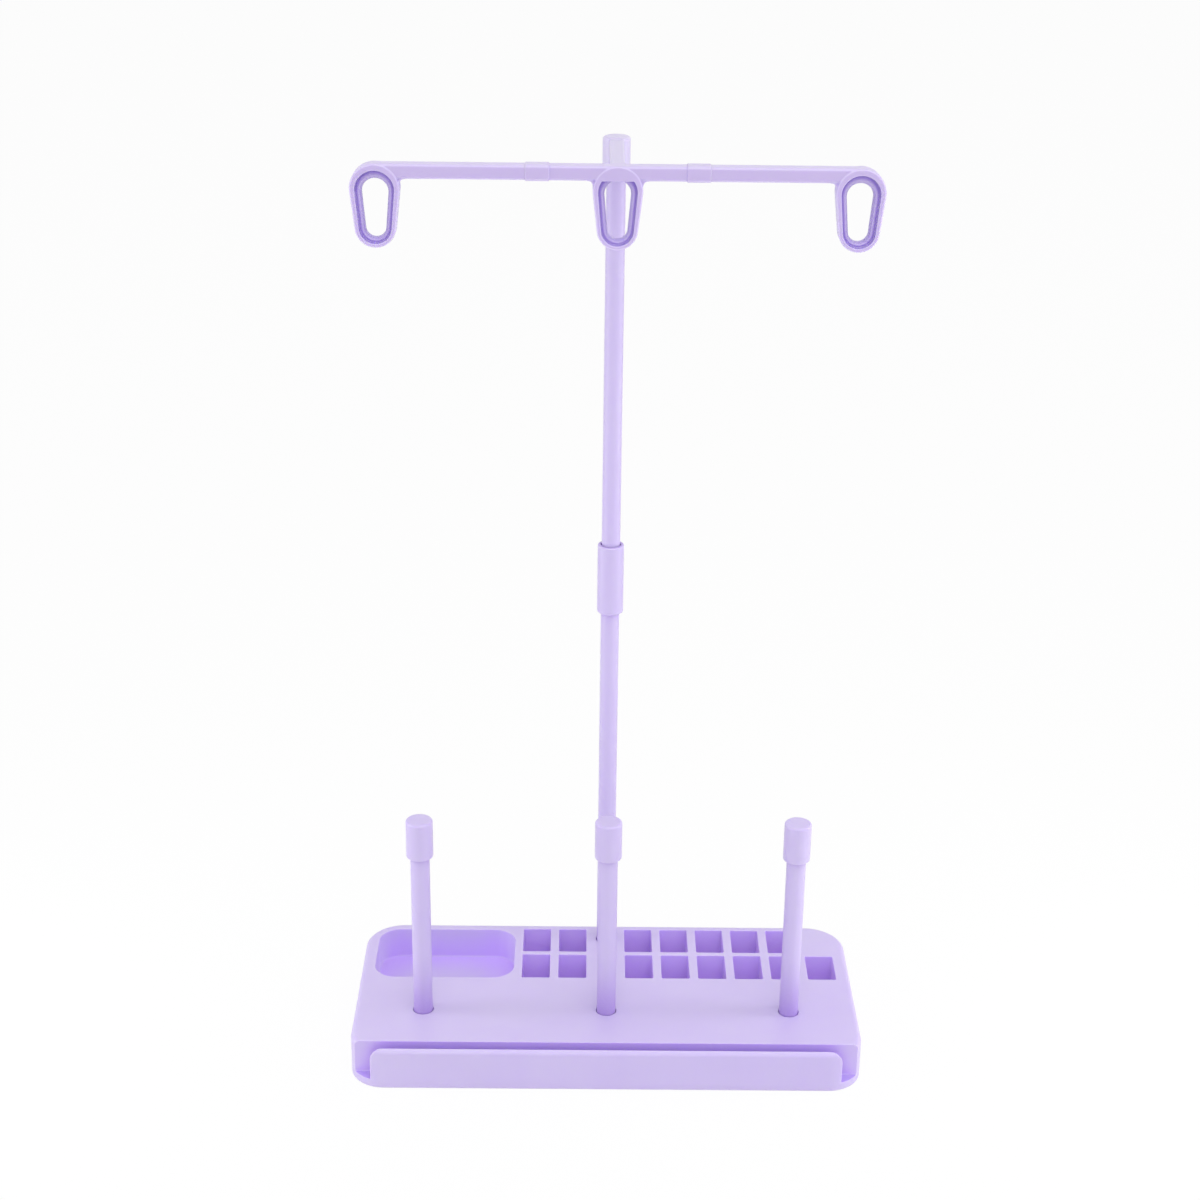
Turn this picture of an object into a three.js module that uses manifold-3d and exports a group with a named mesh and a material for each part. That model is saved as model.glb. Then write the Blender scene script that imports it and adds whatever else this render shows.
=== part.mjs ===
// Thread cone stand: a moulded base with a notions tray, bobbin slots and a pattern slot,
// three capped spool pins, and a two-piece pole whose head carries a guide bar with three eyes.
// Millimetres, +X to the right, +Y to the back, +Z up. Origin: centre of the base's underside.
import * as THREE from "three";
import { mergeVertices, toCreasedNormals } from "three/addons/utils/BufferGeometryUtils.js";
import Module from "manifold-3d";

const wasm = await Module();
wasm.setup();

// Whole stand, from the surface it rests on to the top of the guide bar
const standHeight = 433.1;

// Base housing
const baseLength = 245;
const baseDepth = 114.9;
const baseHeight = 21.2;
const baseFrontRadius = 16.5;
const baseBackRadius = 19;
const baseTopRound = 2.5;
const skirtWall = 2.2;
const deckThickness = 2.2;

// Pattern slot along the front: an upright wall on a lip, open above and at both ends
const lipThickness = 4.1;
const frontWallThickness = 2;
const frontWallLength = 225;
const frontWallCornerRadius = 6.5;
const patternSlotWidth = 6;

// Pockets sunk in the back half of the deck
const pocketBackMargin = 4.6;
const pocketDepth = 16.4;
const pocketWall = 1.6;
const pocketFloor = 1.6;
const trayLength = 69.9;
const trayWidth = 45.2;
const trayCornerRadius = 11;
const traySideMargin = 6.4;
const trayBackMargin = 5.6;

// Bobbin slots: two rows, with the pole standing in the wide land between two columns
const bobbinSlotWidth = 14;
const bobbinSlotLength = 21.4;
const bobbinColumnPitch = 18.34;
const bobbinRowLand = 3;
const poleLand = 19.5;
const leftBobbinColumns = 2;
const rightBobbinColumns = 6;
const rightBackBobbinColumns = 5;

// Sockets under the deck that hold the pins and the pole
const fitClearance = 0.3;
const seatGap = 0.3;
const socketDepth = 18;
const socketFloor = 1.6;
const bossWall = 2;
const ribThickness = 1.6;
const ribLift = 1.4;

// Spool pins and their push-on caps
const pinDiameter = 9.2;
const pinFromEnd = 33.4;
const pinFromFront = 35.7;
const pinRise = 85.3;
const pinEndRound = 0.8;
const capDiameter = 12.8;
const capHeight = 19.1;
const capBoreDepth = 14;
const capTopRound = 1.1;
const capLipWall = 1.15;
const capLipHeight = 0.4;
const capShoulderHeight = 0.4;

// Two-piece pole
const poleFromBack = 13.4;
const lowerPoleDiameter = 8.9;
const upperPoleDiameter = 8.8;
const couplerDiameter = 12.6;
const couplerLength = 35.8;
const couplerRise = 182.7;
const couplerBoreDepth = 28;
const couplerShoulderHeight = 1.4;
const couplerRimRound = 0.7;
const poleEndRound = 0.8;

// Guide head: socket on the pole, arm to the front, guide bar with three eyes
const headDiameter = 12.5;
const headHeight = 18;
const headBoreDepth = 14;
const headCrown = 0.6;
const headTopRound = 1.5;
const armReach = 60;
const armRootWidth = 6.6;
const armTipWidth = 5.7;
const armEdgeRound = 0.8;
const barHeight = 6.3;
const barThickness = 7.2;
const barEdgeRound = 1.3;

// Sleeves of the guide bar that take the side arms' tenons
const sleeveStart = 28.9;
const sleeveLength = 10;
const sleeveSwell = 0.4;
const sleeveEndChamfer = 0.5;
const tenonHeight = 4.2;
const tenonThickness = 5;
const tenonLength = 9;
const tenonLead = 0.6;

// Thread eyes: tapered oval plates with a sunk mouth that rolls into a narrower throat
const eyeOutsidePin = 12.8;
const eyeHeight = 35.5;
const eyeTopRadius = 10.6;
const eyeBottomRadius = 8.8;
const eyeThickness = 8;
const eyeEdgeRound = 0.8;
const eyeTopRim = 2.9;
const eyeBottomRim = 1.7;
const mouthTopRadius = 8.3;
const mouthBottomRadius = 6.9;
const mouthRecess = 2.6;
const throatTopRim = 6.75;
const throatBottomRim = 3.75;
const throatTopRadius = 5.6;
const throatBottomRadius = 4.3;
const throatRollDepth = 2.6;
const eyeBackRound = 0.8;
const barFillet = 2.2;

// Facets of the curved faces
const roundSegments = 32;
const cornerSegments = 8;
const edgeSegments = 3;
const eyeSegments = 12;

const lavender = new THREE.MeshStandardMaterial({ color: 0xcdbdeb, roughness: 0.36, metalness: 0 });

const AXIS_X = new THREE.Vector3(1, 0, 0);
const AXIS_Y = new THREE.Vector3(0, 1, 0);
const AXIS_Z = new THREE.Vector3(0, 0, 1);
const PAST = 1;

// Closed three.js geometry to solid, and back again for the scene.
function solidOf(geometry) {
  const bare = geometry.clone();
  bare.deleteAttribute("normal");
  bare.deleteAttribute("uv");
  const merged = mergeVertices(bare, 1e-4);
  const corners = merged.index.array;
  const triVerts = [];
  for (let i = 0; i < corners.length; i += 3) {
    const [a, b, c] = corners.slice(i, i + 3);
    if (a !== b && b !== c && c !== a) triVerts.push(a, b, c);
  }
  const vertProperties = new Float32Array(merged.attributes.position.array);
  return new wasm.Manifold(
    new wasm.Mesh({ numProp: 3, vertProperties, triVerts: new Uint32Array(triVerts) }),
  );
}

function meshOf(name, solid, material = lavender) {
  const { vertProperties, triVerts } = solid.getMesh();
  const geometry = new THREE.BufferGeometry();
  geometry.setAttribute("position", new THREE.BufferAttribute(new Float32Array(vertProperties), 3));
  geometry.setIndex(new THREE.BufferAttribute(new Uint32Array(triVerts), 1));
  const mesh = new THREE.Mesh(toCreasedNormals(geometry, Math.PI / 5), material);
  mesh.name = name;
  return mesh;
}

const joined = (solids) => solids.reduce((whole, next) => whole.add(next));
const cutBy = (solid, cutters) => cutters.reduce((left, cutter) => left.subtract(cutter), solid);

// Outline through the corners [x, y, radius], each corner with a radius turned into an arc.
function roundedOutline(corners, segments, closed = true) {
  const count = corners.length;
  const at = (i) => new THREE.Vector2(...corners[(i + count) % count].slice(0, 2));
  const points = [];
  corners.forEach(([, , radius = 0], i) => {
    const here = at(i);
    const isEnd = !closed && (i === 0 || i === count - 1);
    if (!radius || isEnd) {
      points.push(here);
      return;
    }
    const before = at(i - 1).sub(here).normalize();
    const after = at(i + 1).sub(here).normalize();
    const halfAngle = Math.acos(THREE.MathUtils.clamp(before.dot(after), -1, 1)) / 2;
    const inward = before.clone().add(after).normalize();
    const centre = here.clone().addScaledVector(inward, radius / Math.sin(halfAngle));
    const start = here.clone().addScaledVector(before, radius / Math.tan(halfAngle)).sub(centre);
    const turn = Math.PI - 2 * halfAngle;
    const sense = Math.sign(after.cross(before));
    for (let step = 0; step <= segments; step += 1) {
      const angle = (sense * turn * step) / segments;
      points.push(start.clone().rotateAround(new THREE.Vector2(), angle).add(centre));
    }
  });
  return points;
}

function rectangle(xMin, xMax, yMin, yMax, radius = 0, segments = cornerSegments) {
  const [frontRadius, backRadius] = Array.isArray(radius) ? radius : [radius, radius];
  return roundedOutline(
    [
      [xMin, yMin, frontRadius],
      [xMax, yMin, frontRadius],
      [xMax, yMax, backRadius],
      [xMin, yMax, backRadius],
    ],
    segments,
  );
}

// Tapered oval: two arcs, one above the other, joined by their common tangents.
function taperedOval(topCentre, topRadius, bottomCentre, bottomRadius) {
  const lean = Math.asin((topRadius - bottomRadius) / (topCentre - bottomCentre));
  const arc = (centre, radius, from, to) =>
    Array.from({ length: eyeSegments + 1 }, (_, step) => {
      const angle = from + ((to - from) * step) / eyeSegments;
      return new THREE.Vector2(radius * Math.cos(angle), centre + radius * Math.sin(angle));
    });
  return [
    ...arc(topCentre, topRadius, -lean, Math.PI + lean),
    ...arc(bottomCentre, bottomRadius, Math.PI + lean, 2 * Math.PI - lean),
  ];
}

// Solid through matching outlines [z, points] from the lowest to the highest, flat at both ends.
function loft(sections) {
  const count = sections[0][1].length;
  const positions = sections.flatMap(([z, points]) => points.flatMap((p) => [p.x, p.y, z]));
  const index = [];
  for (let level = 0; level < sections.length - 1; level += 1) {
    for (let i = 0; i < count; i += 1) {
      const a = level * count + i;
      const b = level * count + ((i + 1) % count);
      index.push(a, b, b + count, a, b + count, a + count);
    }
  }
  const top = (sections.length - 1) * count;
  THREE.ShapeUtils.triangulateShape(sections[0][1], []).forEach(([a, b, c]) => index.push(a, c, b));
  THREE.ShapeUtils.triangulateShape(sections.at(-1)[1], []).forEach(([a, b, c]) =>
    index.push(top + a, top + b, top + c),
  );
  const geometry = new THREE.BufferGeometry();
  geometry.setAttribute("position", new THREE.Float32BufferAttribute(positions, 3));
  geometry.setIndex(index);
  return geometry;
}

// Loft of outlineAt(inset) whose two end edges are rounded by the given radii.
function roundedPrism(outlineAt, zMin, zMax, lowRound, highRound) {
  const rise = (step) => (Math.PI / 2) * (step / edgeSegments);
  const steps = Array.from({ length: edgeSegments + 1 }, (_, step) => step);
  const edge = (radius, level, sign, order) =>
    radius
      ? order.map((step) => [
          level - sign * radius * (1 - Math.sin(rise(step))),
          outlineAt(radius * (1 - Math.cos(rise(step)))),
        ])
      : [[level, outlineAt(0)]];
  return loft([
    ...edge(lowRound, zMin, -1, [...steps].reverse()),
    ...edge(highRound, zMax, 1, steps),
  ]);
}

const prism = (points, zMin, zMax) => solidOf(loft([[zMin, points], [zMax, points]]));

function block(xMin, xMax, yMin, yMax, zMin, zMax) {
  const box = new THREE.BoxGeometry(xMax - xMin, yMax - yMin, zMax - zMin);
  box.translate((xMin + xMax) / 2, (yMin + yMax) / 2, (zMin + zMax) / 2);
  return solidOf(box);
}

// Turned solid about an upright axis from corners [radius, height, round], axis to axis,
// counted upwards on the outside.
function turned(corners, axisY = 0) {
  const profile = roundedOutline(corners, edgeSegments, false);
  const lathe = new THREE.LatheGeometry(profile, roundSegments);
  return solidOf(lathe.rotateX(Math.PI / 2).translate(0, axisY, 0));
}

// Stand a geometry drawn flat in XY up: drawn x, y and depth run along the three given axes.
const stoodUp = (geometry, x, y, depth) =>
  geometry.applyMatrix4(new THREE.Matrix4().makeBasis(x, y, depth));

// Places that several pieces share
const deckTop = baseHeight;
const baseFront = -baseDepth / 2;
const baseBack = baseDepth / 2;
const blockFront = baseFront + frontWallThickness + patternSlotWidth;
const pocketBack = baseBack - pocketBackMargin;
const pocketFloorTop = deckTop - pocketDepth;
const pocketFront = pocketBack - 2 * bobbinSlotLength - bobbinRowLand;
const trayLeft = -baseLength / 2 + traySideMargin;
const trayRight = trayLeft + trayLength;
const trayBack = baseBack - trayBackMargin;
const trayFront = trayBack - trayWidth;
const socketSeat = deckTop - socketDepth;
const pinY = baseFront + pinFromFront;
const poleY = baseBack - poleFromBack;
const pinPitch = baseLength / 2 - pinFromEnd;
const pinXs = [-pinPitch, 0, pinPitch];
const eyePitch = pinPitch + eyeOutsidePin;
const capSeat = deckTop + pinRise;
const couplerBottom = deckTop + couplerRise;
const couplerTop = couplerBottom + couplerLength;
const upperPoleSeat = couplerTop - couplerBoreDepth;
const headTop = standHeight;

function baseOutline(inset) {
  const halfLength = baseLength / 2 - inset;
  const halfDepth = baseDepth / 2 - inset;
  const radii = [baseFrontRadius - inset, baseBackRadius - inset];
  return rectangle(-halfLength, halfLength, -halfDepth, halfDepth, radii);
}

// Bobbin slots as [left edge, back edge], column by column away from the pole.
function bobbinSlots() {
  const slots = [];
  const addColumn = (left, rows) => {
    for (const row of rows) {
      slots.push([left, pocketBack - row * (bobbinSlotLength + bobbinRowLand)]);
    }
  };
  for (let column = 0; column < leftBobbinColumns; column += 1) {
    addColumn(-poleLand / 2 - bobbinSlotWidth - column * bobbinColumnPitch, [0, 1]);
  }
  for (let column = 0; column < rightBobbinColumns; column += 1) {
    addColumn(poleLand / 2 + column * bobbinColumnPitch, column < rightBackBobbinColumns ? [0, 1] : [1]);
  }
  return slots;
}

// The slots' common walls under the deck: one block per run of columns, the left one up to the tray.
function bobbinHousings() {
  const low = pocketFloorTop - pocketFloor;
  const runLength = (columns) => (columns - 1) * bobbinColumnPitch + bobbinSlotWidth;
  const backRowFront = pocketBack - bobbinSlotLength;
  const run = (from, to, front, back) =>
    block(from - pocketWall, to + pocketWall, front - pocketWall, back + pocketWall, low, deckTop);
  return [
    run(trayRight, -poleLand / 2, pocketFront, pocketBack),
    run(poleLand / 2, poleLand / 2 + runLength(rightBackBobbinColumns), backRowFront, pocketBack),
    run(poleLand / 2, poleLand / 2 + runLength(rightBobbinColumns), pocketFront, backRowFront),
  ];
}

const socketBore = (diameter) => diameter / 2 + fitClearance;

function upright(x, y, radius, zMin, zMax) {
  const cylinder = new THREE.CylinderGeometry(radius, radius, zMax - zMin, roundSegments);
  return solidOf(cylinder.rotateX(Math.PI / 2).translate(x, y, (zMin + zMax) / 2));
}

function makeBase() {
  const sockets = [
    ...pinXs.map((x) => [x, pinY, socketBore(pinDiameter)]),
    [0, poleY, socketBore(lowerPoleDiameter)],
  ];
  const body = solidOf(roundedPrism(baseOutline, 0, baseHeight, 0, baseTopRound));

  const panelOutline = roundedOutline(
    [
      [-frontWallLength / 2, lipThickness - PAST],
      [frontWallLength / 2, lipThickness - PAST],
      [frontWallLength / 2, baseHeight, frontWallCornerRadius],
      [-frontWallLength / 2, baseHeight, frontWallCornerRadius],
    ],
    cornerSegments,
  );
  const panel = solidOf(
    stoodUp(
      loft([[-blockFront, panelOutline], [-baseFront + PAST, panelOutline]]),
      AXIS_X,
      AXIS_Z,
      AXIS_Y.clone().negate(),
    ),
  );
  const behindWall = prism(baseOutline(frontWallThickness), 0, baseHeight + PAST);
  const slotRegion = block(
    -baseLength / 2 - PAST,
    baseLength / 2 + PAST,
    baseFront - PAST,
    blockFront,
    lipThickness,
    baseHeight + PAST,
  );
  const patternSlot = slotRegion.subtract(panel.subtract(behindWall));

  const cavityRegion = block(
    -baseLength / 2,
    baseLength / 2,
    blockFront + skirtWall,
    pocketBack + pocketWall,
    -PAST,
    baseHeight - deckThickness,
  );
  const cavityBlock = prism(baseOutline(skirtWall), -PAST, baseHeight).intersect(cavityRegion);
  const housingOutline = rectangle(
    trayLeft - pocketWall,
    trayRight + pocketWall,
    trayFront - pocketWall,
    pocketBack + pocketWall,
    [trayCornerRadius + pocketWall, 0],
  );
  const trayHousing = prism(housingOutline, pocketFloorTop - pocketFloor, deckTop);
  const bosses = sockets.map(([x, y, bore]) =>
    upright(x, y, bore + bossWall, socketSeat - socketFloor, deckTop),
  );
  const longRib = block(
    -baseLength / 2,
    baseLength / 2,
    pinY - ribThickness / 2,
    pinY + ribThickness / 2,
    ribLift,
    deckTop,
  );
  const crossRibs = pinXs.map((x) =>
    block(x - ribThickness / 2, x + ribThickness / 2, blockFront, pocketFront, ribLift, deckTop),
  );
  const cavity = cutBy(cavityBlock, [
    trayHousing,
    ...bobbinHousings(),
    ...bosses,
    longRib,
    ...crossRibs,
  ]);

  const trayOutline = rectangle(trayLeft, trayRight, trayFront, trayBack, trayCornerRadius);
  const tray = prism(trayOutline, pocketFloorTop, deckTop + PAST);
  const slots = bobbinSlots().map(([left, back]) =>
    block(left, left + bobbinSlotWidth, back - bobbinSlotLength, back, pocketFloorTop, deckTop + PAST),
  );
  const bores = sockets.map(([x, y, bore]) => upright(x, y, bore, socketSeat, deckTop + PAST));
  return cutBy(body, [patternSlot, cavity, tray, ...slots, ...bores]);
}

const pinLength = socketDepth - seatGap + pinRise + capBoreDepth - seatGap;

function makePin() {
  const radius = pinDiameter / 2;
  return turned([
    [0, 0],
    [radius, 0, pinEndRound],
    [radius, pinLength, pinEndRound],
    [0, pinLength],
  ]);
}

function makeCap() {
  const radius = capDiameter / 2;
  const bore = socketBore(pinDiameter);
  return turned([
    [0, capBoreDepth],
    [bore, capBoreDepth],
    [bore, 0],
    [bore + capLipWall, 0],
    [bore + capLipWall, capLipHeight],
    [radius, capLipHeight + capShoulderHeight, capShoulderHeight / 2],
    [radius, capHeight, capTopRound],
    [0, capHeight],
  ]);
}

function makeLowerPole() {
  const radius = lowerPoleDiameter / 2;
  const outer = couplerDiameter / 2;
  const bore = socketBore(upperPoleDiameter);
  const foot = couplerBottom - socketSeat - seatGap;
  const top = foot + couplerLength;
  return turned([
    [0, 0],
    [radius, 0, poleEndRound],
    [radius, foot],
    [outer, foot + couplerShoulderHeight, couplerShoulderHeight / 2],
    [outer, top, couplerRimRound],
    [bore, top],
    [bore, top - couplerBoreDepth],
    [0, top - couplerBoreDepth],
  ]);
}

const upperPoleLength = headTop - headHeight + headBoreDepth - upperPoleSeat - 2 * seatGap;

function makeUpperPole() {
  const radius = upperPoleDiameter / 2;
  return turned([
    [0, 0],
    [radius, 0, poleEndRound],
    [radius, upperPoleLength, poleEndRound],
    [0, upperPoleLength],
  ]);
}

// Section of the guide bar, drawn with its top edge at zero.
const barSection = (swell) => (inset) => {
  const grow = swell - inset;
  const halfThickness = barThickness / 2 + grow;
  const round = barEdgeRound + grow;
  return rectangle(-halfThickness, halfThickness, -barHeight - grow, grow, round, edgeSegments);
};

function alongX(section, xMin, xMax, endChamfer = 0) {
  const ends = endChamfer
    ? [
        [xMin, section(endChamfer)],
        [xMin + endChamfer, section(0)],
        [xMax - endChamfer, section(0)],
        [xMax, section(endChamfer)],
      ]
    : [[xMin, section(0)], [xMax, section(0)]];
  return solidOf(stoodUp(loft(ends), AXIS_Y, AXIS_Z, AXIS_X));
}

const upwardsFacing = (geometry) => solidOf(stoodUp(geometry, AXIS_X, AXIS_Z, AXIS_Y.clone().negate()));

const eyeOutline = (inset) =>
  taperedOval(
    -eyeTopRadius,
    eyeTopRadius - inset,
    eyeBottomRadius - eyeHeight,
    eyeBottomRadius - inset,
  );

// Edge of the thread's way through an eye: 0 gives the wide mouth and 1 the narrow throat.
const holeOutline = (share, inset = 0) => {
  const { lerp } = THREE.MathUtils;
  const topRadius = lerp(mouthTopRadius, throatTopRadius, share);
  const bottomRadius = lerp(mouthBottomRadius, throatBottomRadius, share);
  return taperedOval(
    -lerp(eyeTopRim, throatTopRim, share) - topRadius,
    topRadius - inset,
    lerp(eyeBottomRim, throatBottomRim, share) + bottomRadius - eyeHeight,
    bottomRadius - inset,
  );
};

function eyePlate() {
  const half = eyeThickness / 2;
  return upwardsFacing(roundedPrism(eyeOutline, -half, half, eyeEdgeRound, eyeEdgeRound));
}

// What is cut away for the thread: a sunk mouth in front, a roll into the throat, a round back lip.
function eyeHole() {
  const half = eyeThickness / 2;
  const angles = Array.from({ length: edgeSegments + 1 }, (_, i) => ((Math.PI / 2) * i) / edgeSegments);
  const backLip = angles.map((angle) => [
    -half + eyeBackRound * (1 - Math.cos(angle)),
    holeOutline(1, -eyeBackRound * (1 - Math.sin(angle))),
  ]);
  const roll = angles.map((angle) => [
    half - mouthRecess - throatRollDepth * (1 - Math.cos(angle)),
    holeOutline(Math.sin(angle)),
  ]);
  return upwardsFacing(
    loft([
      [-half - PAST, holeOutline(1, -eyeBackRound)],
      ...backLip,
      ...roll.reverse(),
      [half + PAST, holeOutline(0)],
    ]),
  );
}

// Fillet under the bar on the given side of an eye.
function barFilletWeb(side) {
  const half = eyeThickness / 2 - eyeEdgeRound;
  const edge = side * (eyeTopRadius + barFillet);
  const xs = [side * (eyeTopRadius - barFillet), edge].sort((a, b) => a - b);
  const web = block(...xs, -half, half, -barHeight - barFillet, -barHeight / 2);
  const hollow = new THREE.CylinderGeometry(barFillet, barFillet, eyeThickness + PAST, roundSegments);
  return web.subtract(solidOf(hollow.translate(edge, 0, -barHeight - barFillet)));
}

const sleeveEnd = sleeveStart + sleeveLength;

function tenon(side, grow, from, length) {
  const middle = -barHeight / 2;
  const section = (inset) =>
    rectangle(
      -tenonThickness / 2 - grow + inset,
      tenonThickness / 2 + grow - inset,
      middle - tenonHeight / 2 - grow + inset,
      middle + tenonHeight / 2 + grow - inset,
    );
  const xs = [side * from, side * (from - length)].sort((a, b) => a - b);
  return alongX(section, ...xs, grow ? 0 : tenonLead);
}

// Head about the middle of its guide bar's top: the pole's socket stands an arm's reach behind.
function makeHead() {
  const radius = headDiameter / 2;
  const bore = socketBore(upperPoleDiameter);
  const socket = turned(
    [
      [0, headBoreDepth - headHeight],
      [bore, headBoreDepth - headHeight],
      [bore, -headHeight],
      [radius, -headHeight, headTopRound / 2],
      [radius, headCrown, headTopRound],
      [0, headCrown],
    ],
    armReach,
  );
  const armSection = (width) =>
    rectangle(-width / 2, width / 2, -barHeight, 0, armEdgeRound, edgeSegments);
  const arm = upwardsFacing(loft([[-armReach, armSection(armRootWidth)], [0, armSection(armTipWidth)]]));
  const boreClearance = upright(0, armReach, bore, -headHeight, headBoreDepth - headHeight);

  const sleeves = [-1, 1].map((side) => {
    const xs = [side * sleeveStart, side * sleeveEnd].sort((a, b) => a - b);
    return alongX(barSection(sleeveSwell), ...xs, sleeveEndChamfer);
  });
  const bar = alongX(barSection(0), -sleeveStart - sleeveEndChamfer, sleeveStart + sleeveEndChamfer);
  const pockets = [-1, 1].map((side) => tenon(side, fitClearance, sleeveEnd + PAST, tenonLength + PAST));
  const barZone = block(-eyeTopRadius, eyeTopRadius, -eyeThickness, eyeThickness, -barHeight, 0);
  const eyeBelowBar = eyeHole().subtract(barZone);
  const guide = joined([eyePlate(), bar, ...sleeves, barFilletWeb(-1), barFilletWeb(1)]);
  return joined([socket, arm.subtract(boreClearance), cutBy(guide, [...pockets, eyeBelowBar])]);
}

// Side arm about its own eye: side is -1 for the left arm and 1 for the right one.
function makeSideArm(side) {
  const shoulder = sleeveEnd + seatGap - eyePitch;
  const xs = [side * shoulder, 0].sort((a, b) => a - b);
  const bar = alongX(barSection(0), ...xs);
  const plug = tenon(side, 0, shoulder + tenonLead, tenonLength + tenonLead);
  return joined([eyePlate(), bar, barFilletWeb(-side)]).subtract(eyeHole()).add(plug);
}

const stand = new THREE.Group();

function place(parent, mesh, x, y, z) {
  mesh.position.set(x, y, z);
  parent.add(mesh);
  return mesh;
}

place(stand, meshOf("base", makeBase()), 0, 0, 0);

const pinSolid = makePin();
const capSolid = makeCap();
["left", "middle", "right"].forEach((name, i) => {
  place(stand, meshOf(`spool_pin_${name}`, pinSolid), pinXs[i], pinY, socketSeat + seatGap);
  place(stand, meshOf(`spool_cap_${name}`, capSolid), pinXs[i], pinY, capSeat);
});

place(stand, meshOf("pole_lower", makeLowerPole()), 0, poleY, socketSeat + seatGap);
place(stand, meshOf("pole_upper", makeUpperPole()), 0, poleY, upperPoleSeat + seatGap);

const guideGroup = new THREE.Group();
place(stand, guideGroup, 0, poleY - armReach, headTop);
place(guideGroup, meshOf("guide_head", makeHead()), 0, 0, 0);
place(guideGroup, meshOf("guide_arm_left", makeSideArm(-1)), -eyePitch, 0, 0);
place(guideGroup, meshOf("guide_arm_right", makeSideArm(1)), eyePitch, 0, 0);

export default stand;
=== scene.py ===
import math

import bmesh
import bpy
import numpy as np
from mathutils import Matrix, Vector


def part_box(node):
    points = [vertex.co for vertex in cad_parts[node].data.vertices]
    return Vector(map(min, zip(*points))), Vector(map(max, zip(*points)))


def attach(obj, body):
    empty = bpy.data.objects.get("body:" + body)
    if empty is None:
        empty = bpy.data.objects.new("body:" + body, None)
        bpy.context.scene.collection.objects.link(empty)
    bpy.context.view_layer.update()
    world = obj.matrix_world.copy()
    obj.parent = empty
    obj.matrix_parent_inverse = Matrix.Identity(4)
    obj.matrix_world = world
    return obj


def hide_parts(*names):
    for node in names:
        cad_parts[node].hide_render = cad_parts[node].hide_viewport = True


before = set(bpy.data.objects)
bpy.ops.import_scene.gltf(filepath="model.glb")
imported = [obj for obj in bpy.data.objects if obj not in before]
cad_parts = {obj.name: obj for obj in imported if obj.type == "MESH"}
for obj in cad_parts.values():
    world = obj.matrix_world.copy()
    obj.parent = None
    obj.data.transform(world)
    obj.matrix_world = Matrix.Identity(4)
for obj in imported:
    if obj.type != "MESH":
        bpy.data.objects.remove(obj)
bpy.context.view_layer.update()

MM = 0.001
SLOT = "lavender_plastic"

# Camera found from the photograph, in the part's frame
PHOTO_WIDTH_PX = 1200
FOCAL_LENGTH_PX = 2183.395
SENSOR_MM = 36.0
CAMERA_PLACE_MM = Vector((-12.698, -926.842, 618.901))
CAMERA_YAW = 0.0080344
CAMERA_PITCH = -0.3980450
CAMERA_ROLL = 0.0123630
CAMERA_NEAR = 0.05
CAMERA_FAR = 60.0

# Light, in metres and watts
WORLD_LIGHT = 0.66
FLOOR_HALF_WIDTH = 9.0
FLOOR_ALBEDO = 0.92
FLOOR_GLOW = 0.93
SOFT_BOX_AIM = (0.0, 0.0, 0.18)
STRIP_AIM = (0.0, -0.03, 0.18)
STRIP_SIZE = (0.14, 0.5)
LAMPS = (
    # name, place, aim, width and height, watts
    ("soft_above", (0.4, -0.9, 2.2), SOFT_BOX_AIM, (1.8, 1.8), 13.5),
    ("low_front", (0.0, -2.0, 1.0), SOFT_BOX_AIM, (1.6, 1.0), 6.8),
    ("strip_left", (-0.45, -0.03, 0.20), STRIP_AIM, STRIP_SIZE, 0.62),
    ("strip_right", (0.45, -0.03, 0.20), STRIP_AIM, STRIP_SIZE, 0.72),
)

# Base housing, in mm as in the part's source
BASE_LENGTH = 245.0
BASE_DEPTH = 114.9
DECK_TOP = 21.2
FRONT_RADIUS = 16.5
BACK_RADIUS = 19.0
TOP_ROUND = 2.5
FOOT_ROUND = 0.5
SKIRT_WALL = 2.2
DECK_THICKNESS = 2.2

# Pattern slot and the upright wall before it
LIP_THICKNESS = 4.1
WALL_THICKNESS = 2.0
WALL_LENGTH = 225.0
WALL_CORNER_RADIUS = 6.5
WALL_EDGE_ROUND = 0.55
SLOT_WIDTH = 6.0
SLOT_FOOT_FILLET = 0.8
BLOCK_EDGE_ROUND = 0.4

# Pockets in the deck
POCKET_BACK_MARGIN = 4.6
POCKET_DEPTH = 16.4
POCKET_WALL = 1.6
POCKET_FLOOR = 1.6
POCKET_RIM_ROUND = 0.35
POCKET_FLOOR_FILLET = 0.7
TRAY_FLOOR_FILLET = 1.0
TRAY_LENGTH = 69.9
TRAY_WIDTH = 45.2
TRAY_RADIUS = 11.0
TRAY_SIDE_MARGIN = 6.4
TRAY_BACK_MARGIN = 5.6
BOBBIN_WIDTH = 14.0
BOBBIN_LENGTH = 21.4
BOBBIN_PITCH = 18.34
BOBBIN_ROW_LAND = 3.0
BOBBIN_CORNER_RADIUS = 0.75
POLE_LAND = 19.5
LEFT_COLUMNS = 2
RIGHT_COLUMNS = 6
RIGHT_BACK_COLUMNS = 5

# Sockets for the pins and the pole
CLEARANCE = 0.3
SOCKET_DEPTH = 18.0
SOCKET_FLOOR = 1.6
SOCKET_RIM_ROUND = 0.3
BOSS_WALL = 2.0
RIB_THICKNESS = 1.6
RIB_LIFT = 1.4
PIN_PITCH = 89.1
PIN_Y = -21.75
PIN_RADIUS = 4.6
POLE_Y = 44.05
LOWER_POLE_RADIUS = 4.45

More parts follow.
